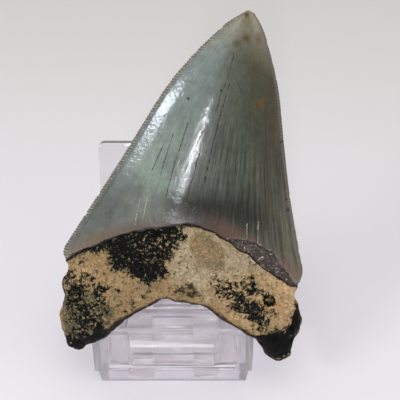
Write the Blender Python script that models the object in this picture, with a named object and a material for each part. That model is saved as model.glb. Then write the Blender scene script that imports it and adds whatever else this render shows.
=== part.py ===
# A fossil shark tooth leaning on a small clear display stand.
# Metres, +Z up, the stand's front faces -Y. The origin is on the ground, under the middle of the whole.

import math

import bmesh
import bpy
import numpy as np
from mathutils import Vector, noise

MM = 0.001
GAP = 0.3  # left between pieces that touch; in millimetres, like every size below

# The stand. Its front foot line is y = 0 and the ground is z = 0.
STAND_MIDDLE = -7.8
STAND_DEPTH = 46.0
BODY_WIDTH = 46.2
BODY_FRONT = -0.4
FOOT_TOP_WIDTH = 44.6
FOOT_WIDTH = 42.8
FOOT_HEIGHT = 5.2
LEDGE_HEIGHT = 20.0
LEDGE_FRONT = 1.9
LEDGE_BACK = 16.0
CHEEK_TAIL_HEIGHT = 8.0
WALL = 2.0
TAIL_BAR = 3.0
EASED_EDGE = 0.3

# Two ribs run from the front wall to the tail bar, either side of an open bay.
BAY_WIDTH = 12.0
RIB_WIDTH = 7.2
RIB_FOOT = 1.0
RIB_TAIL_HEIGHT = 6.5
WINDOW_FRONT = 4.4
WINDOW_BACK = 9.0

# The front wall is sunk inside a frame, and in its middle stands a low pad with the card slot through it.
FRAME_WIDTH = 4.6
FRAME_BOTTOM = 6.6
FRAME_TOP = 18.8
SUNK = 0.5
CARD_WIDTH = 24.2
PAD_BOTTOM = 7.0
PAD_TOP = 15.6
PAD_FRONT = (0.0, 0.6)  # at its bottom and at its top
SLOT_BOTTOM = 7.6
SLOT_TOP = 11.0

# The back panel: its front bottom edge (y, z), its size and its lean from upright, in degrees.
PANEL_FOOT = (5.3, 1.3)
PANEL_LEAN = 16.5
PANEL_WIDTH = 38.7
PANEL_LENGTH = 70.2
PANEL_THICKNESS = 2.5
PANEL_CORNER = 1.6

# The tooth lies in a plane that leans back. Its outline is given across and up that plane.
TOOTH_SEAT = (0.0, -2.5, 18.3)
TOOTH_LEAN = 24.0
ARCH = (
    (-34.2, -0.5), (-31.0, 1.2), (-25.0, 4.9), (-19.1, 10.3), (-11.8, 14.9), (-8.8, 16.4),
    (-6.4, 15.3), (1.1, 13.9), (5.5, 10.3), (10.3, 6.7), (15.6, 3.0), (17.9, -0.9), (22.0, -4.2),
)
ROOT_LEFT = (
    (-34.2, -0.5), (-37.0, 2.1), (-38.6, 9.1), (-37.4, 15.6), (-37.6, 19.4), (-35.6, 24.2), (-36.3, 26.3),
)
ROOT_RIGHT = ((22.0, -4.2), (25.5, -1.2), (26.6, 3.7), (28.4, 8.2), (26.1, 15.5), (26.7, 18.6))
ENAMEL_LINE = (
    (-36.3, 26.3), (-28.2, 31.0), (-22.8, 33.4), (-16.0, 35.6), (-8.0, 37.0), (-1.0, 37.2),
    (4.8, 34.6), (10.8, 30.3), (17.4, 24.9), (23.5, 20.1), (26.7, 18.6),
)
CROWN_LEFT = (
    (-36.3, 26.3), (-36.6, 28.8), (-34.3, 32.9), (-21.2, 52.6),
    (-9.2, 71.3), (-1.8, 80.2), (5.9, 87.5), (10.3, 90.6),
)
CROWN_RIGHT = (
    (26.7, 18.6), (27.8, 22.6), (26.8, 27.8), (23.8, 42.9), (21.7, 57.4),
    (19.9, 71.3), (17.7, 80.2), (15.7, 86.4), (13.5, 90.5),
)
TIP = ((10.3, 90.6), (11.9, 91.3), (13.5, 90.5))

# How far the faces of the tooth stand from that plane, at the middle of its width.
ROOT_FRONT = 6.3
ROOT_BACK_SIDES = 5.2
ROOT_BACK_BULGE = 3.2
CROWN_SHARES = (0.0, 0.35, 0.60, 0.85, 1.0)
CROWN_FRONT = (4.8, 4.0, 3.1, 1.8, 0.6)
CROWN_BACK = (6.0, 3.7, 2.9, 1.9, 0.6)
HEELS = ((-29.5, 0.6), (13.5, 1.1))  # where the back of the root reaches down to the ledge, and how far
HEEL_WIDTH = 5.0
ROOT_RISE = 23.0  # from the arch up to the enamel line, about
UNDERSIDE_ROUND = 4.6
ENAMEL_STEP = 0.4

# The mesh of the tooth.
COLUMNS = 38
ROOT_ROWS = 17
CROWN_ROWS = 27
EDGE_CROWDING = 0.72
SERRATION_PITCH = 0.9
SERRATION_DEPTH = 0.35

# Marks on the front of the root: where each is, across and up, and its size.
PIT = (18.8, 15.5, 1.9)
PATCH = (2.2, 30.2, 4.6)
FLAKE = (-2.7, 17.6, 3.6)
SCAR_TOP = ((7.0, 33.6), (14.8, 31.8), (19.7, 29.0), (22.5, 24.2), (26.4, 19.2))


def clear_scene():
    for thing in list(bpy.data.objects):
        bpy.data.objects.remove(thing, do_unlink=True)


def make_material(name, color, roughness, transmission=0.0, ior=1.5):
    material = bpy.data.materials.new(name)
    material.use_nodes = True
    shader = material.node_tree.nodes["Principled BSDF"]
    shader.inputs["Base Color"].default_value = (*color, 1.0)
    shader.inputs["Roughness"].default_value = roughness
    shader.inputs["Metallic"].default_value = 0.0
    shader.inputs["Transmission Weight"].default_value = transmission
    shader.inputs["IOR"].default_value = ior
    return material


def add_object(name, mesh, material, parent):
    thing = bpy.data.objects.new(name, mesh)
    bpy.context.scene.collection.objects.link(thing)
    thing.parent = parent
    mesh.materials.clear()
    mesh.materials.append(material)
    return thing


def smooth_step(value, low, high):
    share = np.clip((value - low) / (high - low), 0.0, 1.0)
    return share * share * (3.0 - 2.0 * share)


# ---- the tooth ----


def trace(points, shares):
    """Points at the given shares of the length of a smooth curve through `points`."""
    knots = [np.array(point) for point in points]
    knots = [2 * knots[0] - knots[1], *knots, 2 * knots[-1] - knots[-2]]
    line = []
    for before, start, end, after in zip(knots, knots[1:], knots[2:], knots[3:]):
        for t in np.linspace(0.0, 1.0, 16, endpoint=False):
            slope = (end - before) * t
            bend = (2 * before - 5 * start + 4 * end - after) * t**2
            twist = (3 * start - before - 3 * end + after) * t**3
            line.append(start + 0.5 * (slope + bend + twist))
    line = np.array([*line, knots[-2]])
    run = np.concatenate(([0.0], np.cumsum(np.linalg.norm(np.diff(line, axis=0), axis=1))))
    places = np.asarray(shares) * run[-1]
    return np.stack([np.interp(places, run, line[:, axis]) for axis in (0, 1)], axis=1)


def fill_patch(low, high, left, right, across, up):
    """A Coons patch between four curves, as rows of points from `low` to `high`."""
    s = across[None, :, None]
    t = up[:, None, None]
    low = trace(low, across)[None]
    high = trace(high, across)[None]
    left = trace(left, up)[:, None]
    right = trace(right, up)[:, None]
    corners = (1 - t) * ((1 - s) * low[:, :1] + s * low[:, -1:])
    corners = corners + t * ((1 - s) * high[:, :1] + s * high[:, -1:])
    return (1 - t) * low + t * high + (1 - s) * left + s * right - corners


def roughness_of(place, side):
    """Lumps and pits of the root at one place, out of its surface."""
    spot = Vector((place[0], place[1], 40.0 * side))
    lumps = 0.75 * noise.fractal(0.13 * spot, 0.8, 2.1, 3)
    pits = max(0.0, noise.noise(0.42 * spot + Vector((7.0, 3.0, 1.0))) - 0.12)
    return lumps - 1.5 * pits


def mark(place, spot, soft=0.5):
    """1 inside a round mark, falling to 0 at its edge."""
    far = np.hypot(place[..., 0] - spot[0], place[..., 1] - spot[1])
    return 1.0 - smooth_step(far, spot[2] * (1.0 - soft), spot[2])


def tooth_grid():
    """Rows of places across and up the tooth, and for each row its share of the root and of the crown."""
    even = np.linspace(0.0, 1.0, COLUMNS + 1)
    across = even - EDGE_CROWDING * np.sin(2 * math.pi * even) / (2 * math.pi)
    root_up = np.linspace(0.0, 1.0, ROOT_ROWS + 1) ** 1.3
    crown_up = np.concatenate(([0.0, 0.014], np.linspace(0.0, 1.0, CROWN_ROWS + 1)[1:]))
    root = fill_patch(ARCH, ENAMEL_LINE, ROOT_LEFT, ROOT_RIGHT, across, root_up)
    crown = fill_patch(ENAMEL_LINE, TIP, CROWN_LEFT, CROWN_RIGHT, across, crown_up)
    places = np.concatenate((root, crown[1:]))
    in_root = np.concatenate((root_up, np.ones(len(crown_up) - 1)))
    in_crown = np.concatenate((np.zeros(len(root_up)), crown_up[1:]))
    return places, across, in_root, in_crown


def drift_at(place):
    """A sideways drift of up to 1 each way, the same at one place in every run."""
    spot = Vector((0.33 * place[0], 0.33 * place[1], 5.0))
    aside = noise.noise(spot - Vector((34.0, 32.0, 0.0)))
    along = noise.noise(spot - Vector((24.0, 6.0, 0.0)))
    return np.array((aside, along))


def weather_outline(places, in_crown):
    """Wander the root's places a little in the plane, so that its outline is worn and not drawn."""
    for row, share in enumerate(in_crown):
        wear = 0.55 * (1.0 - smooth_step(share, 0.0, 0.03))
        if wear == 0.0:
            continue
        for place in places[row]:
            place += wear * drift_at(place)


def tooth_heights(places, across, in_root, in_crown):
    """How far the front and the back face stand from the middle plane at each place."""
    edge = np.abs(2 * across - 1)[None]
    crown_like = smooth_step(in_root + in_crown, 0.7, 1.12)[:, None]
    round_section = (1 - edge**2.6) ** 0.5
    lens_section = (1 - edge**2.1) ** 0.92
    section = (1 - crown_like) * round_section + crown_like * lens_section
    under = np.clip(in_root * ROOT_RISE / UNDERSIDE_ROUND, 0.0, 1.0)[:, None]
    under_front = (1 - (1 - under) ** 2) ** 0.5
    under_back = (1 - (1 - under) ** 2.6) ** 0.6

    bulge = np.exp(-(((across - 0.50) / 0.20) ** 2))[None]
    bulge = bulge * (1 - 0.45 * smooth_step(in_root, 0.55, 1.0)[:, None])
    root_back = ROOT_BACK_SIDES + ROOT_BACK_BULGE * bulge
    crown_front = np.interp(in_crown, CROWN_SHARES, CROWN_FRONT)[:, None]
    crown_back = np.interp(in_crown, CROWN_SHARES, CROWN_BACK)[:, None]
    turn = smooth_step(in_root + in_crown, 0.75, 1.05)[:, None]
    front = section * under_front * ((1 - turn) * ROOT_FRONT + turn * crown_front)
    back = section * under_back * ((1 - turn) * root_back + turn * crown_back)

    rooty = (1 - smooth_step(in_crown, 0.0, 0.012))[:, None] * np.clip(2.5 * section, 0.0, 1.0) * under
    for side, face, strength in ((0, front, 1.0), (1, back, 0.6)):
        rough = np.array([[roughness_of(place, side) for place in row] for row in places])
        face += strength * rooty * rough
    marks = 0.45 * mark(places, PATCH, 0.25) - 1.3 * mark(places, PIT, 0.6) - 0.7 * mark(places, FLAKE)
    front += rooty * marks
    enamel = smooth_step(in_crown, 0.0, 0.012)[:, None] * np.clip(4.0 * section, 0.0, 1.0)
    scar_top = np.interp(places[..., 0], *np.array(SCAR_TOP).T, left=-99.0, right=-99.0)
    scar = smooth_step(scar_top - places[..., 1], -0.6, 0.6)
    front += ENAMEL_STEP * enamel * (1 - 1.9 * scar)
    back += ENAMEL_STEP * enamel
    return front, back


def serrate(low, high, outward):
    """The points of the saw edge between two rim points, notches on the line and teeth outside it."""
    run = high - low
    length = math.hypot(*run)
    normal = np.array((run[1], -run[0])) / length * outward
    count = max(1, round(length / SERRATION_PITCH))
    steps = range(1, 2 * count)
    return [low + run * step / (2 * count) + normal * SERRATION_DEPTH * (step % 2) for step in steps]


def lower_heels(places, in_root):
    """The back face's places, pulled down where the root stands on the ledge."""
    heeled = places.copy()
    low_rows = np.exp(-(((in_root - 0.05) / 0.10) ** 2))[:, None]
    for middle, drop in HEELS:
        heeled[..., 1] -= drop * low_rows * np.exp(-(((places[..., 0] - middle) / HEEL_WIDTH) ** 2))
    return heeled


def tooth_mesh():
    places, across, in_root, in_crown = tooth_grid()
    weather_outline(places, in_crown)
    front, back = tooth_heights(places, across, in_root, in_crown)
    back_places = lower_heels(places, in_root)
    rows, columns = places.shape[:2]
    points = [(u, -out, v) for (u, v), out in zip(places.reshape(-1, 2), front.reshape(-1))]
    front_index = np.arange(rows * columns).reshape(rows, columns)
    for row, column in ((r, c) for r in range(rows) for c in (0, columns - 1)):
        points[front_index[row, column]] = (*places[row, column, :1], 0.0, *places[row, column, 1:])
    for row, column in ((r, c) for r in (0, rows - 1) for c in range(columns)):
        points[front_index[row, column]] = (*places[row, column, :1], 0.0, *places[row, column, 1:])
    back_index = front_index.copy()
    for row in range(1, rows - 1):
        for column in range(1, columns - 1):
            back_index[row, column] = len(points)
            points.append((back_places[row, column, 0], back[row, column], back_places[row, column, 1]))

    saw = {}
    for column, outward in ((0, -1.0), (columns - 1, 1.0)):
        for row in range(rows - 1):
            if in_crown[row] < 0.02 or row > rows - 3:
                continue
            teeth = serrate(places[row, column], places[row + 1, column], outward)
            saw[row, column] = list(range(len(points), len(points) + len(teeth)))
            points += [(u, 0.0, v) for u, v in teeth]

    faces = []
    for row in range(rows - 1):
        for column in range(columns - 1):
            for index, order in ((front_index, 1), (back_index, -1)):
                right = saw.get((row, column + 1), [])
                left = saw.get((row, column), [])[::-1]
                face = [index[row, column], index[row, column + 1], *right]
                face += [index[row + 1, column + 1], index[row + 1, column], *left]
                faces.append([int(corner) for corner in face][::order])
    mesh = bpy.data.meshes.new("tooth")
    mesh.from_pydata([Vector(point) * MM for point in points], [], faces)
    mesh.validate()
    mesh.shade_smooth()
    mesh.set_sharp_from_angle(angle=math.radians(55))
    return mesh


def make_tooth(parent):
    material = make_material("mineralised tooth", (0.21, 0.24, 0.20), 0.35)
    tooth = add_object("tooth", tooth_mesh(), material, parent)
    tooth.location = Vector(TOOTH_SEAT) * MM
    tooth.rotation_euler = (-math.radians(TOOTH_LEAN), 0.0, 0.0)
    return tooth


# ---- the stand ----


def prism_mesh(name, outline, width, middle=STAND_MIDDLE):
    """A solid with a side outline of (y, z) points and a width along X."""
    shape = bmesh.new()
    corners = [shape.verts.new((middle - width / 2, y, z)) for y, z in outline]
    side = shape.faces.new(corners)
    grown = bmesh.ops.extrude_face_region(shape, geom=[side])
    moved = [part for part in grown["geom"] if isinstance(part, bmesh.types.BMVert)]
    bmesh.ops.translate(shape, verts=moved, vec=(width, 0.0, 0.0))
    bmesh.ops.recalc_face_normals(shape, faces=shape.faces)
    bmesh.ops.scale(shape, verts=shape.verts, vec=(MM, MM, MM))
    mesh = bpy.data.meshes.new(name)
    shape.to_mesh(mesh)
    shape.free()
    return mesh


def make_tool(name, outline, width, parent, middle=STAND_MIDDLE):
    """A hidden solid that shapes the base."""
    tool = bpy.data.objects.new(name, prism_mesh(name, outline, width, middle))
    bpy.context.scene.collection.objects.link(tool)
    tool.parent = parent
    tool.hide_render = True
    tool.display_type = "WIRE"
    return tool


def combine(thing, tool, operation):
    modifier = thing.modifiers.new(tool.name, "BOOLEAN")
    modifier.operation = operation
    modifier.object = tool
    modifier.solver = "EXACT"


def ease_edges(thing):
    bevel = thing.modifiers.new("eased edges", "BEVEL")
    bevel.width = EASED_EDGE * MM
    bevel.segments = 2
    bevel.limit_method = "ANGLE"
    bevel.angle_limit = math.radians(35)
    bevel.use_clamp_overlap = True
    bevel.harden_normals = False


def box_outline(front, back, bottom, top):
    return ((front, bottom), (back, bottom), (back, top), (front, top))


def panel_outline(margin):
    """The panel's side outline, grown by a margin."""
    lean = math.radians(PANEL_LEAN)
    along = Vector((math.sin(lean), math.cos(lean)))
    through = Vector((math.cos(lean), -math.sin(lean)))
    foot = Vector(PANEL_FOOT)
    low, high = -margin, PANEL_LENGTH + margin
    near, far = -margin, PANEL_THICKNESS + margin
    corners = ((low, near), (low, far), (high, far), (high, near))
    return [tuple(foot + along * a + through * b) for a, b in corners]


def make_foot_tool(parent):
    """The tapered foot under the body, a little narrower than it."""
    block = box_outline(0.0, STAND_DEPTH - 1.0, 0.0, FOOT_HEIGHT + 1.0)
    foot = make_tool("foot", block, FOOT_TOP_WIDTH, parent)
    for vertex in foot.data.vertices:
        if vertex.co.z < FOOT_HEIGHT * MM:
            side = vertex.co.x / MM - STAND_MIDDLE
            vertex.co.x = (STAND_MIDDLE + math.copysign(FOOT_WIDTH / 2, side)) * MM
    return foot


def front_at(height):
    """How far back the sloping front wall stands at a height."""
    return BODY_FRONT + (LEDGE_FRONT - BODY_FRONT) * (height - FOOT_HEIGHT) / (LEDGE_HEIGHT - FOOT_HEIGHT)


def shape_front(base, parent):
    """Sink the front wall inside its frame and raise the pad on it."""
    low, high = front_at(FRAME_BOTTOM), front_at(FRAME_TOP)
    sunk = (
        (low - 2.0, FRAME_BOTTOM), (low + SUNK, FRAME_BOTTOM),
        (high + SUNK, FRAME_TOP), (high - 2.0, FRAME_TOP),
    )
    combine(base, make_tool("sunk front", sunk, BODY_WIDTH - 2 * FRAME_WIDTH, parent), "DIFFERENCE")
    pad = (
        (PAD_FRONT[0], PAD_BOTTOM), (front_at(PAD_BOTTOM) + WALL, PAD_BOTTOM),
        (front_at(PAD_TOP) + WALL, PAD_TOP), (PAD_FRONT[1], PAD_TOP),
    )
    combine(base, make_tool("card pad", pad, CARD_WIDTH, parent), "UNION")


def make_base(parent):
    material = make_material("clear plastic", (0.86, 0.86, 0.90), 0.08, 1.0, 1.49)
    body = (
        (BODY_FRONT, FOOT_HEIGHT), (STAND_DEPTH, FOOT_HEIGHT), (STAND_DEPTH, CHEEK_TAIL_HEIGHT),
        (LEDGE_BACK, LEDGE_HEIGHT), (LEDGE_FRONT, LEDGE_HEIGHT),
    )
    base = add_object("stand_base", prism_mesh("stand_base", body, BODY_WIDTH), material, parent)
    combine(base, make_foot_tool(parent), "UNION")
    shape_front(base, parent)

    tail = STAND_DEPTH - TAIL_BAR
    under_ledge = LEDGE_HEIGHT - WALL
    above = LEDGE_HEIGHT + 5.0
    hollow = (
        (BODY_FRONT + WALL, FOOT_HEIGHT + WALL), (tail, FOOT_HEIGHT + WALL), (tail, above),
        (LEDGE_BACK, above), (LEDGE_BACK, under_ledge), (LEDGE_FRONT + WALL, under_ledge),
    )
    combine(base, make_tool("hollow", hollow, BODY_WIDTH - 2 * WALL, parent), "DIFFERENCE")
    opening = box_outline(WALL, tail, -1.0, FOOT_HEIGHT + WALL + 1.0)
    combine(base, make_tool("foot opening", opening, FOOT_WIDTH - 2 * WALL, parent), "DIFFERENCE")

    rib = (
        (WALL / 2, RIB_FOOT), (tail + WALL / 2, RIB_FOOT), (tail + WALL / 2, RIB_TAIL_HEIGHT),
        (LEDGE_BACK + 0.6, LEDGE_HEIGHT - 1.0), (LEDGE_FRONT + 1.0, LEDGE_HEIGHT - 1.0),
    )
    for side in (-1, 1):
        middle = STAND_MIDDLE + side * (BAY_WIDTH + RIB_WIDTH) / 2
        combine(base, make_tool(f"rib {side}", rib, RIB_WIDTH, parent, middle), "UNION")

    window = box_outline(WINDOW_FRONT, WINDOW_BACK, under_ledge - 1.0, above)
    combine(base, make_tool("ledge window", window, BAY_WIDTH, parent), "DIFFERENCE")
    combine(base, make_tool("panel slot", panel_outline(GAP), PANEL_WIDTH + 2 * GAP, parent), "DIFFERENCE")

    slot = box_outline(-2.0, front_at(SLOT_TOP) + WALL + 0.4, SLOT_BOTTOM, SLOT_TOP)
    combine(base, make_tool("card slot", slot, CARD_WIDTH - 2 * GAP, parent), "DIFFERENCE")
    return base


def make_panel(parent):
    material = make_material("clear sheet", (0.88, 0.88, 0.92), 0.05, 1.0, 1.49)
    sheet = prism_mesh("back_panel", panel_outline(0.0), PANEL_WIDTH)
    panel = add_object("back_panel", sheet, material, parent)
    shape = bmesh.new()
    shape.from_mesh(panel.data)
    top = 0.5 * PANEL_LENGTH * MM
    corners = [edge for edge in shape.edges if abs(edge.verts[0].co.x - edge.verts[1].co.x) < MM]
    corners = [edge for edge in corners if min(end.co.z for end in edge.verts) > top]
    corners = [edge for edge in corners if edge.calc_length() < 2 * PANEL_THICKNESS * MM]
    bmesh.ops.bevel(shape, geom=corners, offset=PANEL_CORNER * MM, segments=5, profile=0.5, affect="EDGES")
    shape.to_mesh(panel.data)
    shape.free()
    ease_edges(panel)
    return panel


def stand_on_origin(root, things):
    """Move the whole so that the origin is on the ground, under the middle of its box."""
    graph = bpy.context.evaluated_depsgraph_get()
    points = []
    for thing in things:
        built = thing.evaluated_get(graph)
        points += [built.matrix_world @ vertex.co for vertex in built.to_mesh().vertices]
        built.to_mesh_clear()
    low, high = np.min(points, axis=0), np.max(points, axis=0)
    root.location = (-(low[0] + high[0]) / 2, -(low[1] + high[1]) / 2, -low[2])


def main():
    clear_scene()
    root = bpy.data.objects.new("tooth_on_stand", None)
    bpy.context.scene.collection.objects.link(root)
    tooth = make_tooth(root)
    panel = make_panel(root)
    base = make_base(root)
    stand_on_origin(root, (tooth, panel, base))


main()
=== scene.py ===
import math

import bpy
import numpy as np
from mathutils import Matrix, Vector, noise


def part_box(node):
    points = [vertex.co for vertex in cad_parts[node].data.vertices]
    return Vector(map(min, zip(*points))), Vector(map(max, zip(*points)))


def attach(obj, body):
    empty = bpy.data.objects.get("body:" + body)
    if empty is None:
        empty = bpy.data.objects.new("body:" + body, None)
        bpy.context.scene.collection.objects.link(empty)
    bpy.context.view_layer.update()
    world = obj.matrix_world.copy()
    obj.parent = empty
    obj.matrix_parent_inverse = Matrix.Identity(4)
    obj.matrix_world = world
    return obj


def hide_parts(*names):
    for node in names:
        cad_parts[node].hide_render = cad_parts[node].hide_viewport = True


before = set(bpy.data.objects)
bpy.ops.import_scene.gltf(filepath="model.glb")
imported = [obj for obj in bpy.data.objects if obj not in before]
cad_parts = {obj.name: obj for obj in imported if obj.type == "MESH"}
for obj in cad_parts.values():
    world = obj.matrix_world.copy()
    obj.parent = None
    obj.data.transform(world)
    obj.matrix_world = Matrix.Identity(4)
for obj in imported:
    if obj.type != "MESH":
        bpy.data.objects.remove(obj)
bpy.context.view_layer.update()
mm = 0.001
# points nearer than this, in metres, are merged
mergeGap = 2e-6

# the stand's own zero, on the ground at the middle of its foot line, found from the base
baseLow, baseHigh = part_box("stand_base")
standMiddle = -7.8
standFront = -0.4
home = Vector(((baseLow.x + baseHigh.x) / 2 - standMiddle * mm, baseLow.y - standFront * mm, baseLow.z))


def deselectAll():
    if bpy.context.object and bpy.context.object.mode != "OBJECT":
        bpy.ops.object.mode_set(mode="OBJECT")
    bpy.ops.object.select_all(action="DESELECT")


def toLinear(hexColor):
    parts = [int(hexColor[place:place + 2], 16) / 255 for place in (1, 3, 5)]
    return (*[part / 12.92 if part <= 0.04045 else ((part + 0.055) / 1.055) ** 2.4 for part in parts], 1.0)


def addNode(tree, kind, links=None, out=0, stops=None, **settings):
    # one node with its settings, ramp stops, values and links; gives back one of its outputs
    node = tree.nodes.new(kind)
    for name, value in settings.items():
        setattr(node, name, value)
    for socket, source in (links or {}).items():
        if isinstance(source, bpy.types.NodeSocket):
            tree.links.new(source, node.inputs[socket])
        else:
            node.inputs[socket].default_value = source
    if stops:
        ramp = node.color_ramp
        while len(ramp.elements) < len(stops):
            ramp.elements.new(1.0)
        for element, (place, color) in zip(ramp.elements, stops):
            element.position = place
            element.color = toLinear(color)
    return node.outputs[out] if node.outputs else node


def newMaterial(name):
    material = bpy.data.materials.new(name)
    material.use_nodes = True
    material.node_tree.nodes.clear()
    return material, material.node_tree


def blend(tree, share, under, over, how="MIX"):
    # one color over another by a share; either can be written as a hex color
    under, over = (toLinear(color) if isinstance(color, str) else color for color in (under, over))
    return addNode(tree, "ShaderNodeMix", {0: share, 6: under, 7: over}, 2, data_type="RGBA", blend_type=how)


def calculate(tree, operation, *values):
    return addNode(tree, "ShaderNodeMath", dict(enumerate(values)), operation=operation)


def mapSpan(tree, look, name, value):
    # a value on one of the spans that a look names
    sockets = ("From Min", "From Max", "To Min", "To Max")
    return addNode(tree, "ShaderNodeMapRange", {"Value": value, **dict(zip(sockets, look["spans"][name]))})


def addNoise(tree, point, pitch, detail, roughness=0.5, swirl=0.0):
    return addNode(tree, "ShaderNodeTexNoise", {
        "Vector": point, "Scale": 1 / pitch, "Detail": detail, "Roughness": roughness, "Distortion": swirl,
    })


def readFields(tree, *names):
    # values kept on the points of the tooth
    return {name: addNode(tree, "ShaderNodeAttribute", out=2, attribute_name=name) for name in names}


def addSurface(tree, height, bumpHeight, settings):
    # a surface with its relief in mm
    bump = addNode(tree, "ShaderNodeBump", {"Height": height, "Distance": bumpHeight * mm, "Strength": 1.0})
    shader = addNode(tree, "ShaderNodeBsdfPrincipled", {**settings, "Normal": bump})
    addNode(tree, "ShaderNodeOutputMaterial", {"Surface": shader})


def smoothStep(value, low, high):
    share = np.clip((value - low) / (high - low), 0.0, 1.0)
    return share * share * (3.0 - 2.0 * share)


cameraView = {
    "pixels": 400,
    "focalPixels": 700,
    "sensor": 36.0,
    "place": (0.0, -128.8, 173.9),
    "pitchDown": 39.0,
    "clipStart": 0.01,
}


def makeCamera():
    data = bpy.data.cameras.new("camera")
    data.sensor_width = cameraView["sensor"]
    data.sensor_fit = "HORIZONTAL"
    data.lens = cameraView["focalPixels"] / cameraView["pixels"] * cameraView["sensor"]
    data.clip_start = cameraView["clipStart"]
    camera = bpy.data.objects.new("camera", data)
    bpy.context.scene.collection.objects.link(camera)
    camera.location = home + Vector(cameraView["place"]) * mm
    camera.rotation_euler = (math.radians(90 - cameraView["pitchDown"]), 0, 0)
    bpy.context.scene.camera = camera
    print("camera placed")


studio = {
    "floorSize": 4.0,
    "nearFloor": "#e4e2e7",
    "farFloorPaintedShade": "#dcdad8",
    "paperRoughness": 0.7,
    "paperGloss": 0.2,
    # how far behind the stand's front the floor is near and far, in mm; between them its colour darkens, a
    # painted shade for the lamps' falloff
    "floorFade": (-20, 240),
    "worldColor": "#e8e6e6",
    "worldStrength": 0.84,
    # the room's darker side, which the tooth's front mirrors: direction, strength, cosines of its edges
    "darkSide": ((0.12, -0.96, 0.22), 0.36, (0.70, 0.94)),
    "aim": (0, 15, 60),
    # degrees left of the front, degrees up, mm away, width and height in mm, radiance, color
    "lamps": {
        "softboxLeft": (54, 34.4, 600, 190, 44, 33.0, "#f0f5ff"),
        "windowLeft": (56, 27, 600, 260, 150, 0.7, "#dce9f4"),
        "stripFront": (5, 21.4, 600, 28, 44, 185.0, "#f2f8ff"),
        "fillRight": (-62, 42, 700, 420, 320, 1.1, "#fff6f0"),
        "overheadSoft": (0, 72, 700, 500, 400, 2.1, "#fffaf8"),
    },
}


def makeStudio():
    deselectAll()
    bpy.ops.mesh.primitive_plane_add(size=studio["floorSize"], location=(0, 0, baseLow.z))
    floor = bpy.context.object
    floor.name = "floor"
    bpy.ops.object.transform_apply(location=True)
    material, tree = newMaterial("white paper")
    # painted shade: the paper's colour goes from the near tone to a darker far tone, standing in for light
    # falling off further back
    depth = addNode(tree, "ShaderNodeSeparateXYZ", {"Vector": addNode(tree, "ShaderNodeTexCoord", out=3)}, 1)
    paintedShadeShare = addNode(tree, "ShaderNodeMapRange", {
        "Value": depth, "From Min": studio["floorFade"][0] * mm, "From Max": studio["floorFade"][1] * mm,
    }, interpolation_type="SMOOTHSTEP")
    shader = addNode(tree, "ShaderNodeBsdfPrincipled", {
        "Base Color": blend(tree, paintedShadeShare, studio["nearFloor"], studio["farFloorPaintedShade"]),
        "Roughness": studio["paperRoughness"], "Specular IOR Level": studio["paperGloss"],
    })
    addNode(tree, "ShaderNodeOutputMaterial", {"Surface": shader})
    floor.data.materials.append(material)

    world = bpy.data.worlds.new("soft room")
    bpy.context.scene.world = world
    world.use_nodes = True
    tree = world.node_tree
    tree.nodes.clear()
    darkWay, darkStrength, darkEdges = studio["darkSide"]
    facing = addNode(tree, "ShaderNodeVectorMath", {
        0: addNode(tree, "ShaderNodeTexCoord"), 1: Vector(darkWay).normalized(),
    }, 1, operation="DOT_PRODUCT")
    strength = addNode(tree, "ShaderNodeMapRange", {
        "Value": facing, "From Min": darkEdges[0], "From Max": darkEdges[1],
        "To Min": studio["worldStrength"], "To Max": darkStrength,
    }, interpolation_type="SMOOTHSTEP")
    room = addNode(tree, "ShaderNodeBackground", {
        "Color": toLinear(studio["worldColor"]), "Strength": strength,
    })
    addNode(tree, "ShaderNodeOutputWorld", {"Surface": room})

    aim = home + Vector(studio["aim"]) * mm
    for name, (left, up, away, width, height, radiance, color) in studio["lamps"].items():
        left, up = math.radians(left), math.radians(up)
        toward = Vector((-math.sin(left) * math.cos(up), -math.cos(left) * math.cos(up), math.sin(up)))
        data = bpy.data.lights.new(name, "AREA")
        data.shape = "RECTANGLE"
        data.size, data.size_y = width * mm, height * mm
        data.energy = radiance * math.pi * data.size * data.size_y
        data.color = toLinear(color)[:3]
        lamp = bpy.data.objects.new(name, data)
        bpy.context.scene.collection.objects.link(lamp)
        lamp.location = aim + toward * away * mm
        lamp.rotation_euler = toward.to_track_quat("Z", "Y").to_euler()
    print("studio lit")


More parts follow.
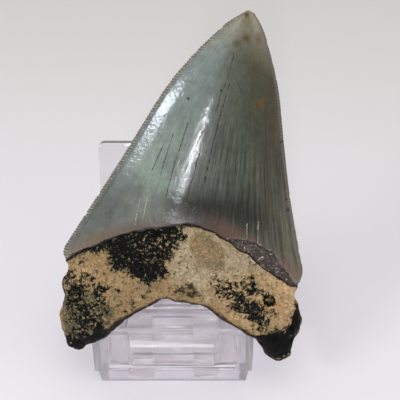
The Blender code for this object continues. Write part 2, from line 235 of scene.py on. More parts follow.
tooth = {
    "columns": 190,
    "rootRows": 84,
    "crownRows": 164,
    # how much the rows and columns crowd at the edges, and how near the enamel line the crown's first row is
    "edgeCrowding": 0.72,
    "archCrowding": 1.15,
    "lineRow": 0.003,
    "seat": (0.0, -2.5, 18.3),
    "lean": 24.0,
    # outlines across and up the tooth's own plane, in mm
    "arch": (
        (-34.2, -0.5), (-32.7, -0.2), (-31, 1.2), (-25, 4.9), (-19.1, 10.3), (-11.8, 14.9), (-8.8, 16.4),
        (-6.4, 15.3), (1.1, 13.9), (5.5, 10.3), (10.3, 6.7), (15.6, 3), (17.9, -0.9), (20.6, -3.6),
        (22, -4.1),
    ),
    "rootLeft": (
        (-34.2, -0.5), (-35.8, 0.3), (-37, 2.1), (-38.6, 9.1), (-37.4, 15.6), (-37.6, 19.4), (-35.6, 24.2),
        (-36.3, 26.3),
    ),
    "rootRight": (
        (22, -4.1), (23.5, -3.4), (25.4, -1.2), (26.6, 3.7), (28.4, 8.2), (26.1, 15.5), (26.7, 18.6),
    ),
    "enamelLine": (
        (-36.3, 26.3), (-28.2, 31), (-22.8, 33.4), (-16, 35.6), (-8, 37), (-1, 37.2), (4.8, 34.6),
        (10.8, 30.3), (17.4, 24.9), (23.5, 20.1), (26.7, 18.6),
    ),
    "crownLeft": (
        (-36.3, 26.3), (-36.6, 28.8), (-34.3, 32.9), (-21.2, 52.6), (-9.2, 71.3), (-1.8, 80.2), (5.9, 87.5),
        (10.3, 90.6),
    ),
    "crownRight": (
        (26.7, 18.6), (27.8, 22.6), (26.8, 27.8), (23.8, 42.9), (21.7, 57.4), (19.9, 71.3), (17.7, 80.2),
        (15.7, 86.4), (13.5, 90.5),
    ),
    "tip": ((10.3, 90.6), (11.9, 91.3), (13.5, 90.5)),
    # how far the root's outline is worn, in mm, and the share of the crown where that ends
    "outlineWear": 0.55,
    "wearEnd": 0.03,
    # the drifts it is worn by (amount, fineness, layer), and where their two directions are read
    "drifts": ((1.0, 0.33, 5.0), (0.3, 1.3, 9.0)),
    "driftShifts": ((34.0, 32.0, 0.0), (24.0, 6.0, 0.0)),
    # how far the faces stand from that plane
    "rootFront": 6.3,
    "rootBackSides": 5.2,
    "rootBackBulge": 3.2,
    "crownShares": (0.0, 0.35, 0.60, 0.85, 1.0),
    "crownFront": (4.8, 4.0, 3.1, 1.8, 0.6),
    "crownBack": (6.0, 3.7, 2.9, 1.9, 0.6),
    # the low ridge down the front of the crown: where across, how round, and how much of the section it is
    "ridge": 0.445,
    "ridgeRound": 0.02,
    "ridgeShare": 0.32,
    # where the root's section turns into the crown's, and how square and how full each is from edge to edge
    "sectionTurn": (0.7, 1.12),
    "rootSection": (2.6, 0.5),
    "crownSection": (2.1, 0.92),
    # the same for the root's rounded underside, in front and behind
    "underFront": (2, 0.5),
    "underBack": (2.6, 0.6),
    # the bulge behind the root: how wide, how much it fades and where
    "bulgeWidth": 0.20,
    "bulgeFade": 0.45,
    "bulgeEnd": (0.55, 1.0),
    # where the root's depth becomes the crown's
    "depthTurn": (0.75, 1.05),
    # mm over which the underside rounds off, how far root and crown rise, and how wide the tooth is
    "undersideRound": 4.6,
    "rootRise": 23.0,
    "crownRise": 62.0,
    "width": 66.0,
    # faces whose points all rise above this, in mm, are enamel
    "enamelFrom": -0.01,
    # the step up to the enamel in mm, how soft it is, and how soon root and enamel are full from the edges
    "enamelStep": 0.4,
    "lineSoft": 0.006,
    "rootEdge": 2.5,
    "enamelEdge": 4.0,
    # the root's lumps (amount, fineness and how they are built up), its pits (amount, fineness, least, shift)
    "lumps": ((0.75, 0.13, 0.8, 2.1, 3), (0.07, 1.4, 0.7, 2.2, 2)),
    "pits": ((1.5, 0.42, 0.12, (7.0, 3.0, 1.0)), (0.9, 1.1, 0.22, (2.0, 5.0, 3.0))),
    # how much of them the front and the back have
    "reliefShares": (1.0, 0.6),
    # where the root stands on the ledge: across and how far down, their width, and which rows go down
    "heels": ((-29.5, 0.6), (13.5, 1.1)),
    "heelWidth": 5.0,
    "heelRows": (0.05, 0.10),
    # the saw edges: mm from one serration to the next, their depths at the left and right, their roundness
    "serrationPitch": 0.82,
    "serrationDepths": (0.30, 0.16),
    "sawRound": 0.8,
    # where they begin and end up the crown, the mm over which they fade out, and what parts left from right
    "sawStart": 0.8,
    "sawEnd": 61.07,
    "sawTaper": 3.0,
    "sawMiddle": 12.0,
    # points nearer the edge than this, in mm, are on it, and each stretch of it is split by so many cuts
    "sawGap": 1e-4,
    "sawCuts": 2,
    # their wear (least, spread, fineness) and what is chipped out of them (depth, least, fineness)
    "sawWear": (0.75, 0.5, 0.6),
    "sawChips": (2.2, 0.38, 0.45),
    # how much faster the serrated rim ends at the right than at the left
    "rightRim": 1.8,
    # marks on the front of the root: across, up, radius, softness, depth
    "pit": (18.6, 16.1, 1.8, 0.45, 2.2),
    "flake": (-2.7, 17.6, 3.6, 0.5, 0.7),
    # the dark ring round the pit: how far in from its edge, width, amount
    "pitRing": (0.45, 0.3, 0.9),
    # small folds at the top of the arch: half their width and how deep they are, then their lines
    "foldWidth": 0.34,
    "foldDepth": 0.5,
    "folds": (
        ((-6.5, 19.2), (-6, 19.9), (-5.6, 19.9), (-4.6, 19.4), (-4.2, 19.2)), ((-5.1, 20.5), (-4.4, 20.3)),
        ((-3.4, 21.4), (-2.8, 20.8)), ((-3.1, 19.9), (-2.7, 20.1)), ((-3, 18.6), (-2.6, 18.4)),
        ((-3.3, 18.1), (-2.6, 17.8), (-2, 17.4)), ((-2.3, 21.7), (-2.2, 20.6), (-1.7, 20), (-0.9, 18.6)),
        ((-1.7, 18.4), (-1.4, 17.9)),
    ),
    # the sandy patch, how soft its border is, and how far it stands out
    "sandOutline": (
        (-2.3, 34.6), (1.3, 35.9), (3.3, 33.6), (6.3, 31.3), (6.4, 26), (4, 25.4), (1, 26.8), (-0.6, 26.4),
        (-1.2, 29.2), (-2.7, 31.2),
    ),
    "sandSoft": 0.25,
    "sandHeight": 0.35,
    # the top of the scar in the enamel, how soft its border is, and its depth against the step of the enamel
    "scarTop": ((7, 33.6), (11.9, 33), (14.8, 32), (17.2, 30.4), (19.7, 29), (22.5, 24.6), (26.4, 19.2)),
    "scarSoft": 0.25,
    "scarDepth": 1.9,
    # how far the back's stains are moved, and where the growth lines begin below the enamel
    "backShift": 9.0,
    "growthStart": -30.0,
    # how much a stained stretch holds blobs off, and the most of one stain
    "stretchHold": 0.75,
    "mostStain": 2.5,
    # stained stretches of the root: the stain, its amount, how soft its border is, and its outline
    "stretches": (
        ("crust", 0.7, 2, (
            (-33, 28.6), (-28.8, 31.8), (-22.4, 34.8), (-16.5, 36.9), (-12, 38.5), (-6.8, 39), (-4.4, 37.4),
            (-3.9, 34.6), (-7.4, 29.6), (-9.5, 24.8), (-10.7, 23.2), (-14.8, 22), (-19.3, 24),
            (-21.8, 23.7), (-23.5, 25.9), (-24.6, 29.1), (-28.9, 28.8),
        )),
        ("crust", 0.46, 2.6, (
            (-33.5, 25.9), (-30.2, 22.5), (-25, 21.5), (-23.3, 16.7), (-23.7, 12.6), (-28.6, 5.6),
            (-31.5, 2.6), (-37.4, 2.7), (-38, 16.7), (-37.5, 24),
        )),
        ("olive", 0.8, 2.4, (
            (-33.5, 20), (-26, 17.5), (-23.7, 12.6), (-28.6, 5.6), (-31.5, 2.6), (-37.4, 2.7), (-38, 16.7),
        )),
        ("crust", 0.46, 2.2, (
            (3, 22.8), (12.5, 22.4), (14.1, 24.4), (16, 21), (19.4, 19), (18.6, 14.2), (20.4, 11.4),
            (18.4, 8.6), (14, 8.8), (8.6, 13), (4.7, 18.4),
        )),
        ("crust", 0.14, 2, (
            (-30, 27), (-22, 23), (-12, 21), (-6, 18), (-8.8, 16.4), (-19, 10.3), (-25, 4.9), (-24, 14),
            (-31, 23),
        )),
        ("olive", 0.5, 1.2, (
            (-7.2, 19), (-4.5, 21.6), (-2.2, 21.4), (-0.2, 19.2), (2, 16.8), (-6.4, 16.2),
        )),
        ("crust", 1.2, 1, (
            (-37.5, 4.4), (-33, 3.2), (-29.2, 6.6), (-26.2, 8.8), (-24.5, 6.2), (-31, 0), (-37, -1),
        )),
        ("grey", 0.82, 2.4, (
            (-6.3, 37.6), (3.8, 36), (12.3, 30.5), (22.5, 21.7), (15.2, 24.4), (8, 23.2), (3.6, 23),
            (1.7, 19), (-3.6, 20.6), (-7.6, 22.6), (-8.3, 26.2), (-6.3, 32),
        )),
        # the peach stretches are partly the root's own paler tan and partly painted light, lifting the right
        # lobe that faces away from the lamps
        ("peachAndPaintedLight", 1, 2.4, (
            (17, 23.5), (24.1, 22.4), (26.6, 18), (27, 13), (22.8, 11), (20.7, 15.6),
        )),
        ("peachAndPaintedLight", 0.6, 2.4, (
            (3, 22), (17, 24.5), (26.6, 20), (26, 10), (16, 6.4), (8, 11),
        )),
    ),
    # where the root is crusted black: across, up, radii, amount
    "crust": (
        (-28.4, 30.4, 1.4, 1.2, 0.54), (-25.1, 33, 2, 1.4, 0.6), (-22.1, 34, 2.5, 1.4, 0.6),
        (-15.3, 35.9, 2.3, 1.4, 0.54), (-12.1, 36.4, 2.9, 2, 0.66), (-8.9, 37.7, 2.5, 1.1, 0.66),
        (-21.1, 30.9, 3.2, 2.4, 0.48), (-17.5, 30.4, 3, 2.9, 0.48), (-12.4, 32.6, 3.4, 2.9, 0.51),
        (-19.4, 27, 4.1, 2.2, 0.45), (-15.3, 26.8, 4.4, 2.7, 0.42), (-14.4, 23.8, 2.8, 1.5, 0.42),
        (-10.9, 26, 2.5, 2.5, 0.36), (-8, 30.4, 1.1, 1.8, 0.54), (-10, 24.3, 1.4, 2, 0.45),
        (-13.5, 21.3, 0.8, 2.2, 0.57), (-31.6, 26.3, 1.1, 1.7, 0.54), (-29.4, 23.3, 2.1, 1.2, 0.36),
        (-27.4, 20.9, 1.4, 1.5, 0.36), (-26.6, 18.6, 1.4, 1.7, 0.48), (-24.7, 19.9, 1, 1, 0.48),
        (-21.7, 19.1, 0.6, 1, 0.66), (-20.6, 16.7, 0.7, 0.8, 0.48), (-17.8, 16.1, 0.9, 0.7, 0.6),
        (-19.3, 14.1, 0.9, 1, 0.48), (-33.7, 19.9, 2.5, 1.4, 0.66), (-35.2, 17.4, 1.6, 1.1, 0.54),
        (-33.2, 15.9, 2.6, 1.8, 0.45), (-31, 12.3, 1.8, 1.7, 0.57), (-32.5, 9.8, 2.1, 1.5, 0.42),
        (-28.7, 11.6, 4, 4.3, 0.21), (-32.2, 7.5, 1.9, 1.5, 0.51), (-27.8, 8.2, 1.5, 1.5, 1.1),
        (-30.1, 5.2, 3.1, 1.6, 0.42), (-34, 3.3, 3.1, 1.2, 1.1), (-28, 5.2, 1.9, 1.3, 0.6),
        (-35.5, 12.3, 1.2, 3.1, 0.21), (-6.1, 36.5, 1.5, 1.3, 0.6), (-4.9, 34.4, 1.4, 0.8, 0.51),
        (-5.9, 32.3, 1, 0.5, 0.48), (-5.9, 29.2, 1, 0.4, 0.48), (4.3, 35.2, 0.6, 0.8, 0.72),
        (7, 19.5, 2.4, 1.4, 0.43), (5.9, 22.2, 3, 1.6, 0.24), (9, 21.9, 1.1, 1.1, 0.39),
        (6.5, 17.9, 1.4, 1.1, 0.45), (11.1, 17.3, 1.7, 1.1, 0.54), (9.6, 14.3, 1.5, 1.1, 0.57),
        (13.4, 13.5, 2.3, 1.7, 0.6), (15, 11.5, 1.8, 1.1, 0.54), (14.3, 21.1, 0.8, 2, 0.6),
        (13.1, 19.5, 1.4, 0.8, 0.51), (17.1, 19.2, 0.8, 0.8, 0.36), (12.9, 16.2, 2.3, 1.4, 0.39),
        (16.3, 10.1, 1.5, 1.7, 0.39), (19.6, 12.6, 1, 1.4, 0.36), (17.9, 17.1, 0.9, 0.8, 1.3),
        (26.6, 10.1, 1.2, 3.4, 1.6), (25.2, 7.3, 1.5, 1.7, 1.6), (21.2, 1.9, 4.9, 3.7, 2.6),
        (19, 4.5, 3.4, 1.4, 2.6), (16.4, 5.3, 1.6, 0.9, 1.6), (-3.4, 19.8, 2.8, 1, 0.33),
    ),
    # other stains in the root: grey-green, rusty and paler grey
    "olive": (
        (-30.2, 14.6, 2.8, 1.8, 0.9), (-26.3, 12.3, 4, 3.1, 0.9), (-33.3, 11.1, 3.2, 4.5, 0.9),
        (-27, 26, 1.4, 1, 0.6), (-15.3, 26, 2.8, 2, 0.6), (-19.4, 26, 2.3, 1.5, 0.5),
        (-28.5, 17.9, 1.4, 1, 0.7), (-21.1, 30.1, 3.7, 2.2, 0.6), (-14.7, 21.6, 1.4, 1.5, 0.5),
        (-30.5, 6.5, 4, 3, 0.8), (-0.9, 34.9, 1.4, 1.6, 0.5),
    ),
    "rust": (
        (-33.7, 5.9, 1.4, 1.3, 1), (-35.9, 13.1, 0.9, 2, 0.8), (-29.5, 27, 2.1, 1.7, 0.5),
        (-25.8, 26.3, 1.8, 1.5, 0.5), (-22.7, 22.3, 1.6, 1.2, 0.5), (-15.4, 30.6, 1.4, 1.4, 0.8),
        (-14.1, 29.2, 0.9, 0.7, 0.8), (-30.5, 20.1, 1.2, 1.7, 0.5), (20.8, 14.3, 3.3, 2.2, 0.7),
        (17.3, 13.7, 1.5, 1.7, 0.6), (-1.6, 38.1, 3.7, 0.8, 0.5), (5.9, 26.2, 1.3, 0.8, 0.8),
    ),
    "grey": (
        (12.2, 27.8, 5, 1.6, 0.3), (19, 24.4, 3.3, 1.1, 0.5), (-0.9, 21.9, 1.8, 1.1, 0.4),
        (2.1, 17.6, 2.3, 1.4, 0.7),
    ),
    # paler peach tan: partly its own colour and partly painted light
    "peachAndPaintedLight": ((-31, 24.5, 3.5, 2.2, 0.5), (-23, 22, 3, 1.6, 0.3)),
    # the same in the crown: dusky just above the root, green where it is thin, amber along the right edge
    "dusk": (
        (-1, 42, 7, 4.5, 0.9), (-6, 43, 4.5, 3.5, 0.6), (8, 41, 7, 5.5, 0.95), (15, 38, 4.5, 6, 0.6),
        (20, 52, 3.5, 9, 0.45), (-25, 42.5, 5, 7, 0.45),
    ),
    "green": ((-13.5, 53, 6, 7, 0.9), (-7, 61, 5, 5, 0.7), (-9, 48, 6, 5, 0.5), (2, 74, 4, 5, 0.3)),
    "amber": (
        (20, 61, 1.6, 7, 0.55), (15.3, 68.7, 1.5, 2, 0.9), (11.5, 84.7, 1.2, 1, 1.1),
        (8.9, 83.4, 1.3, 1, 0.8), (14.4, 84.5, 0.9, 1.4, 1.1), (13.5, 78, 3, 6, 0.45),
        (11, 89.5, 3, 2.5, 0.5), (-27.5, 33.5, 6, 1.8, 0.8), (23.6, 30, 2.2, 6, 0.4),
        (11.3, 90.3, 0.6, 0.5, 1),
    ),
}


def traceCurve(points, shares):
    # points at these shares of the length of a smooth curve through the given ones
    knots = [np.array(point) for point in points]
    knots = [2 * knots[0] - knots[1], *knots, 2 * knots[-1] - knots[-2]]
    line = []
    for before, start, end, after in zip(knots, knots[1:], knots[2:], knots[3:]):
        for t in np.linspace(0.0, 1.0, 16, endpoint=False):
            slope = (end - before) * t
            bend = (2 * before - 5 * start + 4 * end - after) * t ** 2
            twist = (3 * start - before - 3 * end + after) * t ** 3
            line.append(start + 0.5 * (slope + bend + twist))
    line = np.array([*line, knots[-2]])
    run = np.concatenate(([0.0], np.cumsum(np.linalg.norm(np.diff(line, axis=0), axis=1))))
    places = np.asarray(shares) * run[-1]
    return np.stack([np.interp(places, run, line[:, axis]) for axis in (0, 1)], axis=1)


def fillPatch(low, high, left, right, across, up):
    # a surface patch between four curves, in rows from low to high
    s, t = across[None, :, None], up[:, None, None]
    low, high = traceCurve(low, across)[None], traceCurve(high, across)[None]
    left, right = traceCurve(left, up)[:, None], traceCurve(right, up)[:, None]
    lowEnds, highEnds = ((1 - s) * line[:, :1] + s * line[:, -1:] for line in (low, high))
    return (1 - t) * (low - lowEnds) + t * (high - highEnds) + (1 - s) * left + s * right


def driftAt(place, fineness, layer):
    # a sideways drift of up to 1 each way, the same at one place in every run
    spot = Vector((fineness * place[0], fineness * place[1], layer))
    return np.array([noise.noise(spot - Vector(shift)) for shift in tooth["driftShifts"]])


def toothGrid():
    even = np.linspace(0.0, 1.0, tooth["columns"] + 1)
    across = even - tooth["edgeCrowding"] * np.sin(2 * math.pi * even) / (2 * math.pi)
    rootUp = np.linspace(0.0, 1.0, tooth["rootRows"] + 1) ** tooth["archCrowding"]
    crownUp = np.linspace(0.0, 1.0, tooth["crownRows"] + 1)[1:]
    crownUp = np.concatenate(([0.0, tooth["lineRow"]], crownUp))
    line = tooth["enamelLine"]
    root = fillPatch(tooth["arch"], line, tooth["rootLeft"], tooth["rootRight"], across, rootUp)
    crown = fillPatch(line, tooth["tip"], tooth["crownLeft"], tooth["crownRight"], across, crownUp)
    places = np.concatenate((root, crown[1:]))
    inRoot = np.concatenate((rootUp, np.ones(len(crownUp) - 1)))
    inCrown = np.concatenate((np.zeros(len(rootUp)), crownUp[1:]))
    for row, share in enumerate(inCrown):
        wear = tooth["outlineWear"] * (1.0 - smoothStep(share, 0.0, tooth["wearEnd"]))
        if wear > 0.0:
            for place in places[row]:
                place += sum(wear * amount * driftAt(place, *drift) for amount, *drift in tooth["drifts"])
    return places, across, inRoot, inCrown


def nearestTo(places, line):
    # mm from each place to a line through some points
    nearest = np.full(places.shape[:2], np.inf)
    for start, end in zip(line, line[1:]):
        start = np.array(start)
        step = np.array(end) - start
        share = np.clip(((places - start) @ step) / (step @ step), 0, 1)
        nearest = np.minimum(nearest, np.linalg.norm(places - start - share[..., None] * step, axis=2))
    return nearest


def insideOutline(places, outline, soft):
    # 1 inside a closed outline, falling to 0 over its soft border
    closed = (*outline, outline[0])
    nearest = nearestTo(places, closed)
    inside = np.zeros(places.shape[:2], bool)
    for (startU, startV), (endU, endV) in zip(closed, closed[1:]):
        if startV != endV:
            crosses = (startV > places[..., 1]) != (endV > places[..., 1])
            slope = (places[..., 1] - startV) / (endV - startV)
            inside ^= crosses & (places[..., 0] < startU + slope * (endU - startU))
    return smoothStep(np.where(inside, nearest, -nearest), -soft, soft)


def nearMiddle(values, middle, width):
    # 1 at the middle, falling away to 0 on both sides like a bell
    return np.exp(-(((values - middle) / width) ** 2))


def stainField(places, stain):
    # the wider stretches of one stain, with its blobs added where they leave room
    field = np.zeros(places.shape[:2])
    for kind, amount, soft, outline in tooth["stretches"]:
        if kind == stain:
            field = np.maximum(field, amount * insideOutline(places, outline, soft))
    room = 1.0 - tooth["stretchHold"] * np.minimum(field, 1.0)
    for u, v, wide, tall, amount in tooth[stain]:
        field += room * amount * nearMiddle(places[..., 0], u, wide) * nearMiddle(places[..., 1], v, tall)
    return np.clip(field, 0.0, tooth["mostStain"])


def roundMark(places, spot, soft):
    far = np.hypot(places[..., 0] - spot[0], places[..., 1] - spot[1])
    return 1.0 - smoothStep(far, spot[2] * (1.0 - soft), spot[2])


def foldField(places):
    nearest = np.min([nearestTo(places, line) for line in tooth["folds"]], axis=0)
    return nearMiddle(nearest, 0.0, tooth["foldWidth"])


def rootRelief(place, side):
    spot = Vector((place[0], place[1], 40.0 * side))  # far apart in the noise, so that the two sides differ
    relief = 0.0
    for amount, fineness, *steps in tooth["lumps"]:
        relief += amount * noise.fractal(fineness * spot, *steps)
    for amount, fineness, least, shift in tooth["pits"]:
        relief -= amount * max(0.0, noise.noise(fineness * spot + Vector(shift)) - least)
    return relief


def toothSection(across, inRoot, inCrown):
    # how thick each place is against the middle of its row: in front, where the crown has a ridge, and behind
    edge = np.abs(2 * across - 1)[None]
    crownLike = smoothStep(inRoot + inCrown, *tooth["sectionTurn"])[:, None]
    rootSection, crownSection = (
        (1 - edge ** squareness) ** fullness
        for squareness, fullness in (tooth["rootSection"], tooth["crownSection"])
    )
    section = (1 - crownLike) * rootSection + crownLike * crownSection
    ridge = tooth["ridge"]
    roundness = tooth["ridgeRound"]
    ridgeSide = np.where(across < ridge, ridge, 1 - ridge)
    offRidge = np.hypot(across - ridge, roundness) - roundness
    offRidge = offRidge / (np.hypot(ridgeSide, roundness) - roundness)
    ridged = (1 - tooth["ridgeShare"]) * section + tooth["ridgeShare"] * (1 - offRidge)[None]
    return (1 - crownLike) * section + crownLike * ridged, section


def toothHeights(places, across, inRoot, inCrown):
    frontSection, section = toothSection(across, inRoot, inCrown)
    under = np.clip(inRoot * tooth["rootRise"] / tooth["undersideRound"], 0.0, 1.0)[:, None]
    underFront, underBack = (
        (1 - (1 - under) ** squareness) ** fullness
        for squareness, fullness in (tooth["underFront"], tooth["underBack"])
    )
    bulge = nearMiddle(across, 0.5, tooth["bulgeWidth"])[None]
    bulge = bulge * (1 - tooth["bulgeFade"] * smoothStep(inRoot, *tooth["bulgeEnd"])[:, None])
    rootBack = tooth["rootBackSides"] + tooth["rootBackBulge"] * bulge
    crownFront = np.interp(inCrown, tooth["crownShares"], tooth["crownFront"])[:, None]
    crownBack = np.interp(inCrown, tooth["crownShares"], tooth["crownBack"])[:, None]
    turn = smoothStep(inRoot + inCrown, *tooth["depthTurn"])[:, None]
    front = frontSection * underFront * ((1 - turn) * tooth["rootFront"] + turn * crownFront)
    back = section * underBack * ((1 - turn) * rootBack + turn * crownBack)

    offLine = smoothStep(inCrown, 0.0, tooth["lineSoft"])[:, None]
    rooty = (1 - offLine) * np.clip(tooth["rootEdge"] * section, 0.0, 1.0) * under
    for side, (face, strength) in enumerate(zip((front, back), tooth["reliefShares"])):
        for row, column in np.argwhere(rooty > 0.0):
            face[row, column] += strength * rooty[row, column] * rootRelief(places[row, column], side)
    sand = insideOutline(places, tooth["sandOutline"], tooth["sandSoft"])
    marks = tooth["sandHeight"] * sand - tooth["foldDepth"] * foldField(places)
    for name in ("pit", "flake"):
        *spot, soft, depth = tooth[name]
        marks = marks - depth * roundMark(places, spot, soft)
    front += rooty * marks
    scarTop = np.interp(places[..., 0], *np.array(tooth["scarTop"]).T, left=-99.0, right=-99.0)
    scar = smoothStep(scarTop - places[..., 1], -tooth["scarSoft"], tooth["scarSoft"])
    scar = scar * (inCrown > 0)[:, None]
    enamel = offLine * np.clip(tooth["enamelEdge"] * section, 0.0, 1.0)
    front += tooth["enamelStep"] * enamel * (1 - tooth["scarDepth"] * scar)
    back += tooth["enamelStep"] * enamel
    return front, back, sand, scar


def lowerHeels(places, inRoot):
    # the back's places, pulled down where the root stands on the ledge
    heeled = places.copy()
    lowRows = nearMiddle(inRoot, *tooth["heelRows"])[:, None]
    for middle, drop in tooth["heels"]:
        heeled[..., 1] -= drop * lowRows * nearMiddle(places[..., 0], middle, tooth["heelWidth"])
    return heeled


def toWorld(across, out, up):
    # from across, out of and up the tooth's plane, in mm, to the frame
    lean = math.radians(tooth["lean"])
    y = tooth["seat"][1] - out * math.cos(lean) + up * math.sin(lean)
    z = tooth["seat"][2] + out * math.sin(lean) + up * math.cos(lean)
    return np.stack([tooth["seat"][0] + across, y, z], axis=-1) * mm + np.array(home)


def shapeFace(name, points, fields, growth, finishes, outwards):
    # a flat grid pulled to the shape of one face, with what its finish reads kept on its points
    rows, columns = points.shape[:2]
    deselectAll()
    bpy.ops.mesh.primitive_grid_add(x_subdivisions=columns - 1, y_subdivisions=rows - 1, size=1)
    face = bpy.context.object
    face.name = name
    mesh = face.data
    flat = readPoints(mesh.vertices, "co", 3)
    column = np.rint((flat[:, 0] + 0.5) * (columns - 1)).astype(int)
    row = np.rint((flat[:, 1] + 0.5) * (rows - 1)).astype(int)
    mesh.vertices.foreach_set("co", points[row, column].astype(np.float32).reshape(-1))
    for title, values in fields.items():
        spread = np.broadcast_to(values, (rows, columns))[row, column]
        mesh.attributes.new(title, "FLOAT", "POINT").data.foreach_set("value", spread.astype(np.float32))
    corner = np.empty(len(mesh.loops), np.int32)
    mesh.loops.foreach_get("vertex_index", corner)
    while mesh.uv_layers:
        mesh.uv_layers.remove(mesh.uv_layers[0])
    layer = mesh.uv_layers.new(name="growth")
    layer.data.foreach_set("uv", growth[row, column][corner].astype(np.float32).reshape(-1))
    for finish in finishes:
        mesh.materials.append(finish)
    inCrown = np.broadcast_to(fields["rise"], (rows, columns))[row, column] > tooth["enamelFrom"]
    quads = np.empty(len(mesh.polygons) * 4, np.int32)
    mesh.polygons.foreach_get("vertices", quads)
    enamelled = inCrown[quads.reshape(-1, 4)].all(axis=1)
    mesh.polygons.foreach_set("material_index", enamelled.astype(np.int32))
    if not outwards:
        bpy.ops.object.mode_set(mode="EDIT")
        bpy.ops.mesh.select_all(action="SELECT")
        bpy.ops.mesh.flip_normals()
        bpy.ops.object.mode_set(mode="OBJECT")
    return face


def selectOnly(piece):
    deselectAll()
    piece.select_set(True)
    bpy.context.view_layer.objects.active = piece


def mergePoints():
    bpy.ops.object.mode_set(mode="EDIT")
    bpy.ops.mesh.select_all(action="SELECT")
    bpy.ops.mesh.remove_doubles(threshold=mergeGap)


def readPoints(data, name, width=1):
    # one value or vector for each point of a mesh
    values = np.empty(len(data) * width, np.float32)
    data.foreach_get(name, values)
    return values.astype(float).reshape(-1, width) if width > 1 else values


def onCrownRim(mesh):
    # which points stand on the crown's two edges, and how far up they all are
    gap = readPoints(mesh.attributes["edgeGap"].data, "value")
    rise = readPoints(mesh.attributes["rise"].data, "value")
    return (gap < tooth["sawGap"]) & (rise > tooth["sawStart"]), rise


def sawEdges(piece, places, inCrown):
    # split the crown's two edges finely and pull the new points out into serrations
    mesh = piece.data
    selectOnly(piece)
    rim, rise = onCrownRim(mesh)
    rim &= rise < tooth["sawEnd"]
    mesh.polygons.foreach_set("select", np.zeros(len(mesh.polygons), bool))
    mesh.vertices.foreach_set("select", np.zeros(len(mesh.vertices), bool))
    for edge in mesh.edges:
        edge.select = bool(rim[edge.vertices[0]] and rim[edge.vertices[1]])
    bpy.ops.object.mode_set(mode="EDIT")
    bpy.ops.mesh.select_mode(type="EDGE")
    bpy.ops.mesh.subdivide(number_cuts=tooth["sawCuts"])
    bpy.ops.object.mode_set(mode="OBJECT")

    points = readPoints(mesh.vertices, "co", 3)
    rim, rise = onCrownRim(mesh)
    crown = inCrown > 0
    lifts = inCrown[crown] * tooth["crownRise"]
    for column, side, depth in zip((0, -1), (-1.0, 1.0), tooth["serrationDepths"]):
        line = places[crown, column]
        run = np.concatenate(([0.0], np.cumsum(np.linalg.norm(np.diff(line, axis=0), axis=1))))
        along = np.gradient(line, run, axis=0)
        rimHere = rim & ((points[:, 0] - home.x) * side > side * tooth["sawMiddle"] * mm)
        for index in np.flatnonzero(rimHere):
            at = float(np.interp(rise[index], lifts, run))
            lean = np.array([np.interp(at, run, along[:, axis]) for axis in (0, 1)])
            outward = np.array((lean[1], -lean[0])) * side / np.hypot(*lean)
            taper = min(1.0, (tooth["crownRise"] - rise[index]) / tooth["sawTaper"])
            push = depth * serrationAt(at, side) * taper - chipAt(at, side)
            points[index] += toWorld(outward[0] * push, 0.0, outward[1] * push) - toWorld(0.0, 0.0, 0.0)
    mesh.vertices.foreach_set("co", points.astype(np.float32).reshape(-1))
    mesh.update()


def serrationAt(at, side):
    # how far the saw edge stands out at a place along it, unevenly worn
    least, spread, fineness = tooth["sawWear"]
    worn = least + spread * noise.noise(Vector((fineness * at, 3.0 * side, 2.0)))
    return abs(math.sin(math.pi * at / tooth["serrationPitch"])) ** tooth["sawRound"] * worn


def chipAt(at, side):
    # mm broken out of the saw edge at a place along it
    depth, least, fineness = tooth["sawChips"]
    return max(0.0, noise.noise(Vector((fineness * at, 7.0 * side, 4.0))) - least) * depth


def makeTooth():
    places, across, inRoot, inCrown = toothGrid()
    front, back, sand, scar = toothHeights(places, across, inRoot, inCrown)
    backPlaces = lowerHeels(places, inRoot)
    for rim in (np.s_[[0, -1]], np.s_[:, [0, -1]]):
        front[rim] = 0.0
        back[rim] = 0.0
        backPlaces[rim] = places[rim]

    rise = (inCrown * tooth["crownRise"] - (1 - inRoot) * tooth["rootRise"])[:, None]
    width = np.linalg.norm(places[:, -1] - places[:, 0], axis=1)[:, None]
    steps = np.linalg.norm(np.diff(places, axis=0), axis=2)
    runs = np.concatenate((np.zeros((1, len(across))), np.cumsum(steps, axis=0)))
    shared = {
        "rise": rise,
        "width": width,
        "edgeGap": width * np.minimum(across, tooth["rightRim"] * (1 - across))[None],
        "edgeRun": np.where(across < 0.5, runs[:, :1], runs[:, -1:]),
        "archGap": rise + tooth["rootRise"],
    }
    stains = ("crust", "olive", "rust", "grey", "peachAndPaintedLight", "dusk", "green", "amber")
    frontFields = {stain: stainField(places, stain) for stain in stains}
    ringIn, ringWidth, ringAmount = tooth["pitRing"]
    fromPit = np.hypot(places[..., 0] - tooth["pit"][0], places[..., 1] - tooth["pit"][1])
    frontFields["crust"] += ringAmount * nearMiddle(fromPit, tooth["pit"][2] - ringIn, ringWidth)
    frontFields.update({"sand": sand, "scar": scar, "fold": foldField(places)})
    # the back has the same stains turned over and moved, and none of the front's own marks
    turned = places * np.array((-1.0, 1.0)) - np.array((tooth["backShift"], 0.0))
    backFields = {stain: stainField(turned, stain) for stain in stains}
    backFields.update({"sand": 0.0, "scar": 0.0, "fold": 0.0})

    growth = np.broadcast_arrays(across[None] * tooth["width"], np.maximum(rise, tooth["growthStart"]))
    growth = np.stack(growth, axis=-1)
    finishes = (makeRootFinish(), makeEnamelFinish())
    frontPoints = toWorld(places[..., 0], front, places[..., 1])
    backPoints = toWorld(backPlaces[..., 0], -back, backPlaces[..., 1])
    faces = (
        shapeFace("tooth_form", frontPoints, {**shared, **frontFields}, growth, finishes, True),
        shapeFace("tooth_back", backPoints, {**shared, **backFields}, growth, finishes, False),
    )
    selectOnly(faces[0])
    faces[1].select_set(True)
    bpy.ops.object.join()
    piece = bpy.context.object
    mergePoints()
    bpy.ops.object.mode_set(mode="OBJECT")
    sawEdges(piece, places, inCrown)
    bpy.ops.object.shade_smooth()
    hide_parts("tooth")
    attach(piece, "root")
    print("tooth shaped:", len(piece.data.polygons), "faces")
    return piece


